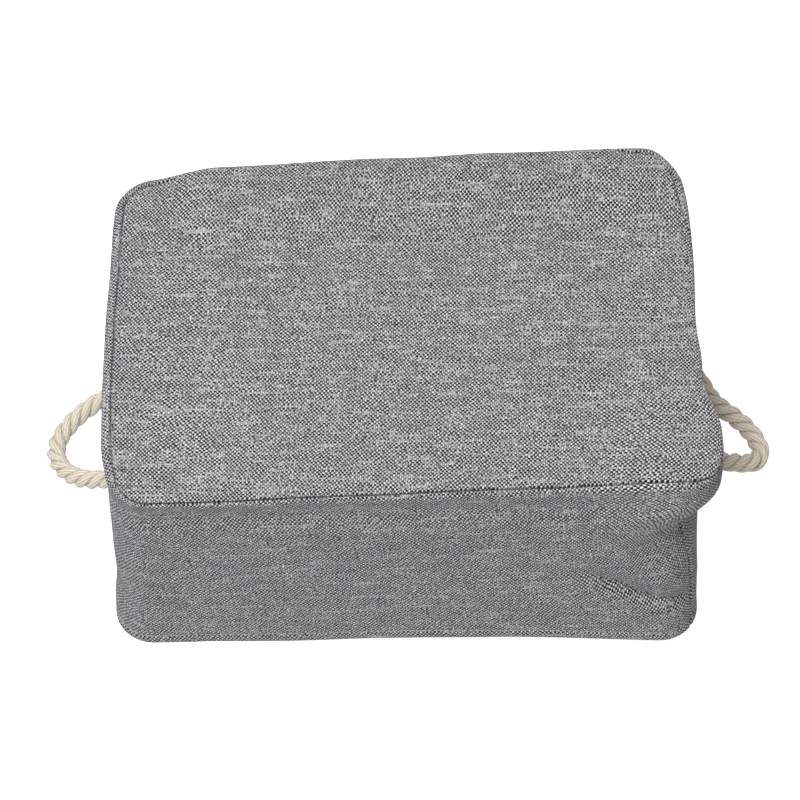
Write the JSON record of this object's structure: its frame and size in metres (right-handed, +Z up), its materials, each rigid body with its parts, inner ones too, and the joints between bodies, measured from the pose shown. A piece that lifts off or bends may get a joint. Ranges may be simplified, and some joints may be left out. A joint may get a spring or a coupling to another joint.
{
  "type": "fabric storage bin",
  "caption": "Rectangular open-top storage bin of stiffened woven cloth, lined, with a turned and stitched rim and a knotted rope handle at each end.",
  "frame": {"origin": "centre of the base's underside, on the surface that the bin stands on", "axes": "+X along the bin's length, from the left rope handle to the right one; +Y along its depth, from front to back; +Z up, out of the open rim. The picture shows the bin turned upside down: its camera looks at the base and the front wall, so its right is -X and its up is -Z."},
  "size_m": [0.4497, 0.2508, 0.15],
  "materials": {
    "outer_cloth": "heather grey linen-look plain weave",
    "lining_cloth": "off-white plain woven lining",
    "board": "stiff felted sheet",
    "rope": "natural three-strand cotton rope",
    "thread": "spun polyester sewing thread",
    "eyelet_metal": "nickel-plated"
  },
  "bodies": {
    "root": {"outer_base_panel": "outer_cloth", "outer_wall_front_right": "outer_cloth", "outer_wall_back_left": "outer_cloth", "rim_hem": "outer_cloth", "hem_stitch_outer": "thread", "hem_stitch_inner": "thread", "base_board": "board", "stiffener_front": "board", "stiffener_back": "board", "stiffener_right": "board", "stiffener_left": "board", "lining_base": "lining_cloth", "lining_wall_front_right": "lining_cloth", "lining_wall_back_left": "lining_cloth", "rope_stub_right_front": "rope", "rope_stub_right_back": "rope", "rope_stub_left_front": "rope", "rope_stub_left_back": "rope", "rope_knot_right_front": "rope", "rope_knot_right_back": "rope", "rope_knot_left_front": "rope", "rope_knot_left_back": "rope", "eyelet_right_front": "eyelet_metal", "eyelet_right_back": "eyelet_metal", "eyelet_left_front": "eyelet_metal", "eyelet_left_back": "eyelet_metal", "eyelet_washer_right_front": "eyelet_metal", "eyelet_washer_right_back": "eyelet_metal", "eyelet_washer_left_front": "eyelet_metal", "eyelet_washer_left_back": "eyelet_metal"},
    "right_handle": {"rope_loop_right": "rope"},
    "left_handle": {"rope_loop_left": "rope"}
  },
  "joints": [
    {"name": "right_handle_swing", "type": "hinge", "parent": "root", "child": "right_handle", "pos_m": [0.1821, 0, 0.1], "axis": [0, -1, 0], "range_deg": [-100, 52]},
    {"name": "left_handle_swing", "type": "hinge", "parent": "root", "child": "left_handle", "pos_m": [-0.1821, 0, 0.1], "axis": [0, 1, 0], "range_deg": [-100, 52]}
  ]
}
